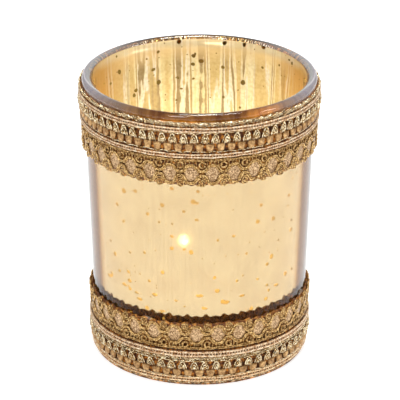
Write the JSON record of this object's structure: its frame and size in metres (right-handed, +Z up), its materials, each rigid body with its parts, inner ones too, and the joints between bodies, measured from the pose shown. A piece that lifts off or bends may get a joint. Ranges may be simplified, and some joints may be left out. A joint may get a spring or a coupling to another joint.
{
  "type": "tealight holder",
  "caption": "Silvered glass tumbler with gold braid and lace glued round its rim and its foot, holding a tealight in a metal cup.",
  "frame": {"origin": "centre of the circle that the tumbler stands on", "axes": "+Z up along the tumbler's axis, out of its mouth; -Y towards the side the picture shows; +X to the right in the picture"},
  "size_m": [0.0834, 0.0834, 0.1],
  "materials": {
    "clear_glass": "smooth, fire-polished rim",
    "gold_mirror": "gold silvering, speckled and slightly see-through",
    "copper_gold_cord": "plaited metallic yarn with a satin sheen",
    "antique_gold_thread": "looped metallic thread that glitters",
    "woven_tape": "plain brown-gold weave",
    "rose_gold_satin": "close-stitched satin yarn",
    "clear_glue": "cloudy dried craft glue",
    "bare_aluminium": "drawn foil, semi-bright",
    "paraffin_wax": "white wax, glossy where melted",
    "cotton_wick": "waxed braided cotton, charred at the tip",
    "tinned_steel": "thin stamped sheet"
  },
  "bodies": {
    "holder": {"glass_tumbler": "clear_glass", "mirror_coating": "gold_mirror", "upper_glue": "clear_glue", "lower_glue": "clear_glue", "upper_braid_tape": "woven_tape", "upper_braid_foot_cord": "copper_gold_cord", "upper_braid_crown_row": "antique_gold_thread", "upper_braid_head_cord": "copper_gold_cord", "upper_braid_edge_thread": "antique_gold_thread", "upper_lace_net": "antique_gold_thread", "upper_lace_petals": "rose_gold_satin", "upper_lace_inner_gimp": "antique_gold_thread", "upper_lace_outer_gimp": "antique_gold_thread", "lower_lace_net": "antique_gold_thread", "lower_lace_petals": "rose_gold_satin", "lower_lace_inner_gimp": "antique_gold_thread", "lower_lace_outer_gimp": "antique_gold_thread", "lower_braid_tape": "woven_tape", "lower_braid_foot_thread": "antique_gold_thread", "lower_braid_foot_cord": "copper_gold_cord", "lower_braid_crown_row": "antique_gold_thread", "lower_braid_head_thread": "antique_gold_thread", "lower_braid_head_cord": "copper_gold_cord"},
    "tealight": {"tealight_cup": "bare_aluminium"},
    "candle": {"wax": "paraffin_wax", "wick": "cotton_wick", "wick_tab": "tinned_steel"}
  },
  "joints": [
    {"name": "tealight_lift", "type": "slide", "parent": "holder", "child": "tealight", "axis": [0, 0, 1], "range_m": [0, 0.11]},
    {"name": "wax_lift", "type": "slide", "parent": "tealight", "child": "candle", "axis": [0, 0, 1], "range_m": [0, 0.02]}
  ]
}
